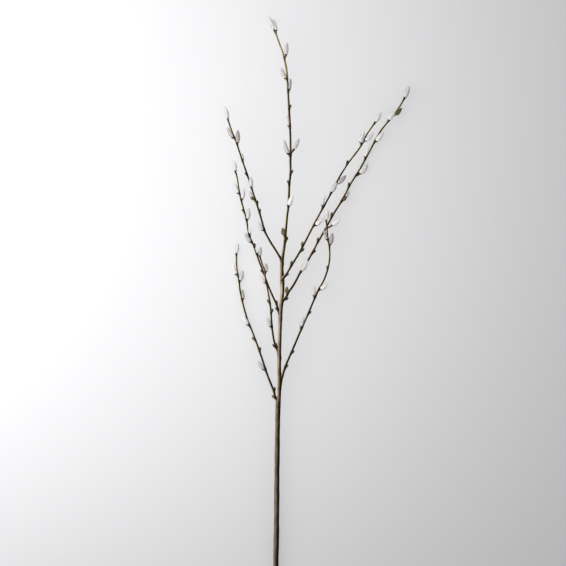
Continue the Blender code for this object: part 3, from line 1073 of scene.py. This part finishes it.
def growScale(growth, foot, axes, length, width, cover, olive):
    rows, sides = scaleShape["rows"], scaleShape["sides"]
    turn = turnsRound(sides)
    facing = (0.5 + 0.5 * np.cos(turn)) ** scaleShape["pointing"]
    inner = max(scaleShape["innerShare"], 2 * cover - 1)
    top = -1 + 2 * scaleReach(cover) * (inner + (1 - inner) * facing)
    top = top + dice.normal(0, scaleShape["rimWaver"], sides)
    share = np.linspace(0, 1, rows) ** scaleShape["rowCrowding"]
    z = (-scaleShape["foot"] + share[:, None] * (top[None] + scaleShape["foot"])).reshape(-1)
    turns = np.tile(turn, rows)
    flare = np.repeat(scaleShape["flare"] * (scaleShape["flareHeight"] - share), sides)
    layers = []
    for stand in (scaleShape["stand"], scaleShape["stand"] - scaleShape["thickness"]):
        wide = width * catkinShape["coreWidth"] + 2 * stand + flare
        place, _, _ = eggSurface(z, turns, wide, length * catkinShape["coreLength"], axes)
        layers.append(place)
    faces = gridFaces(rows, sides)
    size = rows * sides
    rim = np.arange(sides) + (rows - 1) * sides
    following = np.roll(rim, -1)
    lip = np.stack([rim, following, following + size, rim + size], -1)
    flow = eggFlow(z, turns, width, length)
    growth.take(
        foot + np.vstack(layers),
        np.vstack([faces, faces[:, ::-1] + size, lip]),
        flow=np.vstack([flow, flow]) + foot,
        up=np.tile(np.repeat(share, sides), 2),
        olive=olive,
    )


# a closed bud: flat against the stem, with a beak that bends back to it
budShape = {
    "rows": 13,
    "sides": 14,
    "width": 0.6,
    "lean": 26,
    "depth": 0.34,
    "flatness": 0.85,
    "footShare": 0.01,
    "lowWeight": 0.78,
    "fullness": 0.65,
    "bluntness": 0.02,
    "ridge": 0.09,
    "beak": 0.12,
    "beakPower": 2.2,
    "rimPale": 0.85,
    "knot": 0.9,
}


def growBud(growth, root, pointing, side, length, olive):
    rows, sides = budShape["rows"], budShape["sides"]
    share = np.linspace(budShape["footShare"], 1, rows)
    profile = np.sin(math.pi * share ** budShape["lowWeight"]) ** budShape["fullness"] + budShape["bluntness"]
    out = unit(side - pointing * (side @ pointing))
    across = np.cross(pointing, out)
    turn = turnsRound(sides)
    radius = (length * budShape["width"] / 2 * profile)[:, None]
    ridge = 1 + budShape["ridge"] * np.cos(2 * turn)
    beak = (length * budShape["beak"] * share ** budShape["beakPower"])[:, None]
    outPart = np.cos(turn)[None] * radius * budShape["flatness"] - beak
    crossPart = np.sin(turn)[None] * radius * ridge[None]
    upPart = np.repeat((share * length)[:, None], sides, 1)
    places = root + pointing * upPart[..., None] + out * outPart[..., None] + across * crossPart[..., None]
    growth.take(
        places.reshape(-1, 3),
        gridFaces(rows, sides),
        flow=np.stack([outPart, crossPart, upPart], -1).reshape(-1, 3) + root,
        up=np.repeat(share, sides) * budShape["rimPale"],
        olive=olive,
    )


# a catkin's long stalk: a bowed little stem with a knot at its end
stalkShape = {
    "least": 2,  # shorter ones are hidden by the scale
    "rows": 9,
    "sides": 12,
    "bow": 0.12,
    "girth": 1.05,
    "knot": 0.8,
    "reach": 0.06,
}


def growStalk(growth, start, end, radius, side):
    rows = stalkShape["rows"]
    reach = np.linalg.norm(end - start)
    share = np.linspace(0, 1, rows)[:, None]
    line = start + (end - start) * share + side * stalkShape["bow"] * reach * np.sin(math.pi * share)
    radii = np.full(rows, radius * stalkShape["girth"])
    knots = [(reach, 0, stalkShape["knot"])]
    growStem(growth, line, np.linspace(0, reach, rows), radii, knots, stalkShape["sides"])


def dressSpray(name, spray, line, travelled, radii, sides, joined, bark, slot):
    stem, fur, cores, scales, buds = Growth(), Growth(), Growth(), Growth(), Growth()
    knots = []
    tip = None
    for y, turn, lean, length, width, stalk, tone, cover in spray["catkins"]:
        place, forward, reached = atHeight(line, travelled, y)
        radius = np.interp(reached, travelled, radii)
        side = outward(forward, turn)
        atTip = y >= line[-1, 1]
        closed = cover > catkinShape["closedCover"]
        angle = math.radians(lean)
        tilt = catkinShape["lift"] * math.cos(math.radians(turn)) + dice.uniform(-1, 1) * catkinShape["wobble"]
        pointing = unit(np.array((math.sin(angle), math.cos(angle), math.tan(math.radians(tilt)))))
        root = place if atTip else place + side * (radius + width * catkinShape["footOut"])
        foot = root + pointing * stalk
        if atTip and tip is None:
            tip = foot + pointing * length * catkinShape["tipReach"]
        out = unit(np.cross(pointing, (0, 0, 1)) if atTip else side - pointing * (side @ pointing))
        axes = (pointing, out, np.cross(pointing, out), dice.uniform(*catkinShape["bend"]))
        if stalk > stalkShape["least"]:
            growStalk(stem, place, foot + pointing * length * stalkShape["reach"], radius, side)
        growCore(cores, foot, axes, length * catkinShape["coreLength"], width * catkinShape["coreWidth"])
        if not closed:
            growFur(fur, foot, axes, length, width, tone, cover)
        olive = scaleShape["tallOlive"] * (cover > scaleShape["tallCover"])
        olive = olive + dice.uniform(0, scaleShape["oliveSpread"])
        scaleLength = length * (catkinShape["closedLength"] if closed else 1)
        growScale(scales, foot - pointing * scaleShape["drop"], axes, scaleLength, width, cover, olive)
        knot = catkinShape["knot"] if stalk < stalkShape["least"] else stalkShape["knot"]
        knots.append((reached, turn, knot))
    for y, turn, length, olive in spray["buds"]:
        place, forward, reached = atHeight(line, travelled, y - length / 2)
        radius = np.interp(reached, travelled, radii)
        side = outward(forward, turn)
        pointing = unit(forward + side * math.tan(math.radians(budShape["lean"])))
        growBud(buds, place + side * radius * (1 - budShape["depth"]), pointing, side, length, olive)
        knots.append((reached, turn, budShape["knot"]))
    # the stem runs on into the foot of the catkin at its tip
    last = np.linalg.norm(tip - line[-1, :3])
    if last > stemShape["tipGap"]:
        line = np.vstack([line, (*tip, *line[-1, 3:])])
        travelled = np.append(travelled, travelled[-1] + last)
        radii = np.append(radii, radii[-1] * stemShape["tipTaper"])
    growStem(stem, line, travelled, radii, knots, sides, joined)
    stemPiece = stem.piece(name + "Stem", bark, slot)
    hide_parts(spray["node"])
    fur.piece(name + "Fur", furFinish, "catkin_fur")
    cores.piece(name + "Cores", coreFinish, "catkin_fur")
    scales.piece(name + "Scales", scaleFinish, "bud_scale")
    buds.piece(name + "Buds", scaleFinish, "bud_scale")
    print(name, "dressed:", len(spray["catkins"]), "catkins,", len(spray["buds"]), "buds")


leaderLine, leaderTravel = evenLine(leader["route"], stemShape["ringStep"])
leaderRadii = leaderLine[:, 3] / 2
shootLines = []
for shoot in shoots.values():
    line, travelled = evenLine(shoot["route"], stemShape["ringStep"])
    footDiameter, tipDiameter = shoot["diameters"]
    shootLines.append((line, travelled, np.linspace(footDiameter / 2, tipDiameter / 2, len(line))))
forkRows, leaderSides, shootSides = stemShape["forkRows"], stemShape["leaderSides"], stemShape["shootSides"]
forks = [(line[:forkRows], radii[:forkRows]) for line, _, radii in shootLines]
dressSpray("leader", leader, leaderLine, leaderTravel, leaderRadii, leaderSides, forks, leaderBark, "bark")
joint = [(leaderLine, leaderRadii)]
for (name, shoot), (line, travelled, radii) in zip(shoots.items(), shootLines):
    dressSpray(name, shoot, line, travelled, radii, shootSides, joint, shootBark, "shoot_bark")


# the cut end: a disc of pale wood just proud of the bark's end, with its rim turned back into it
cutEnd = {
    "rings": 12,
    "sides": 36,
    "inset": 0.93,
    "heart": 0.02,
    "proud": 0.12,
    "ripple": 0.03,
    "ripples": 9,
    "rimBack": 0.5,
}


def makeCutEnd():
    disc = Growth()
    rings, sides = cutEnd["rings"], cutEnd["sides"]
    forward, right, up = stemAxes(leaderLine)
    turn = turnsRound(sides)
    share = np.linspace(cutEnd["heart"], 1, rings)
    across = share[:, None] * leaderRadii[0] * cutEnd["inset"]
    ring = np.cos(turn)[None, :, None] * up[0] + np.sin(turn)[None, :, None] * right[0]
    sawn = cutEnd["proud"] + cutEnd["ripple"] * np.sin(share * cutEnd["ripples"])[:, None, None]
    places = leaderLine[0, :3] + ring * across[..., None] - forward[0] * sawn
    places[-1] += forward[0] * cutEnd["rimBack"]
    flow = np.stack([np.cos(turn)[None] * across, np.sin(turn)[None] * across, np.zeros((rings, sides))], -1)
    disc.take(places.reshape(-1, 3), gridFaces(rings, sides), flow=flow.reshape(-1, 3))
    disc.piece("cutEnd", cutFinish, "cut_wood")


makeCutEnd()
print("cut end made")


# the studio: a plain pale floor, soft light from a wide window on the left, a camera straight above
studio = {
    "floorSize": 30,
    "floorColour": (0.502, 0.5, 0.507),
    "floorRoughness": 0.9,
    "floorGloss": 0.1,
    "floorGlow": 0.08,
    "airColour": (0.985, 0.99, 1),
    "airLight": 0.38,
    "photoSide": 566,
    "photoScale": 0.00175,  # metres to a pixel
    "photoMiddle": (-0.0595, 0.084),
    "lens": 500,
    "sensor": 36,
    "farthest": 100,
    "frameHeight": 0.03,  # the height above the floor where a pixel has that size
}
windowLook = {"shape": "RECTANGLE", "size": 1.952, "size_y": 1.554, "color": (0.995, 0.995, 1)}
windowStand = {"place": (-0.753, 0.535, 0.655), "target": (-0.477, 0.609, 0)}
bounceLook = {"angle": math.radians(75), "color": (0.96, 0.98, 1)}
bounceStand = {"place": (2, -0.6, 1), "target": (0, 0, 0)}
lightPower = {"windowLight": 7.8, "windowGlow": 17.8, "bounceLight": 0.3}


def makeFloor():
    bpy.ops.mesh.primitive_plane_add(size=studio["floorSize"], location=(0, 0, 0))
    floor = bpy.context.object
    floor.name = "paleFloor"
    paint = Finish(
        "floorPaint",
        Metallic=0,
        Roughness=studio["floorRoughness"],
        Base_Color=rgb(studio["floorColour"]),
        Specular_IOR_Level=studio["floorGloss"],
        Emission_Color=(1, 1, 1, 1),
        Emission_Strength=studio["floorGlow"],
    )
    floor.data.materials.append(paint.material)


def addLight(name, kind, place, target, **fixed):
    lamp = bpy.data.lights.new(name, kind)
    lamp.energy = lightPower[name]
    for key, value in fixed.items():
        setattr(lamp, key, value)
    # with this on, a light without shadows loses most of its light on the floor
    lamp.cycles.use_multiple_importance_sampling = lamp.use_shadow
    light = bpy.data.objects.new(name, lamp)
    light.location = place
    light.rotation_euler = (Vector(target) - light.location).to_track_quat("-Z", "Y").to_euler()
    bpy.context.scene.collection.objects.link(light)


makeFloor()
# the window's glow throws no shadow, so that the shadows on the floor stay faint
addLight("windowLight", "AREA", **windowStand, **windowLook)
addLight("windowGlow", "AREA", **windowStand, use_shadow=False, **windowLook)
addLight("bounceLight", "SUN", **bounceStand, **bounceLook)
world = bpy.data.worlds.new("studioAir")
world.use_nodes = True
air = world.node_tree.nodes["Background"].inputs
air["Color"].default_value = rgb(studio["airColour"])
air["Strength"].default_value = studio["airLight"]
bpy.context.scene.world = world
bpy.context.scene.view_settings.view_transform = "Standard"

camera = bpy.data.cameras.new("topCamera")
camera.lens = studio["lens"]
camera.sensor_width = studio["sensor"]
camera.clip_end = studio["farthest"]
topCamera = bpy.data.objects.new("topCamera", camera)
frameSide = studio["photoSide"] * studio["photoScale"]
height = frameSide * studio["lens"] / studio["sensor"] + studio["frameHeight"]
topCamera.location = (*studio["photoMiddle"], height)
bpy.context.scene.collection.objects.link(topCamera)
bpy.context.scene.camera = topCamera
print("studio set")
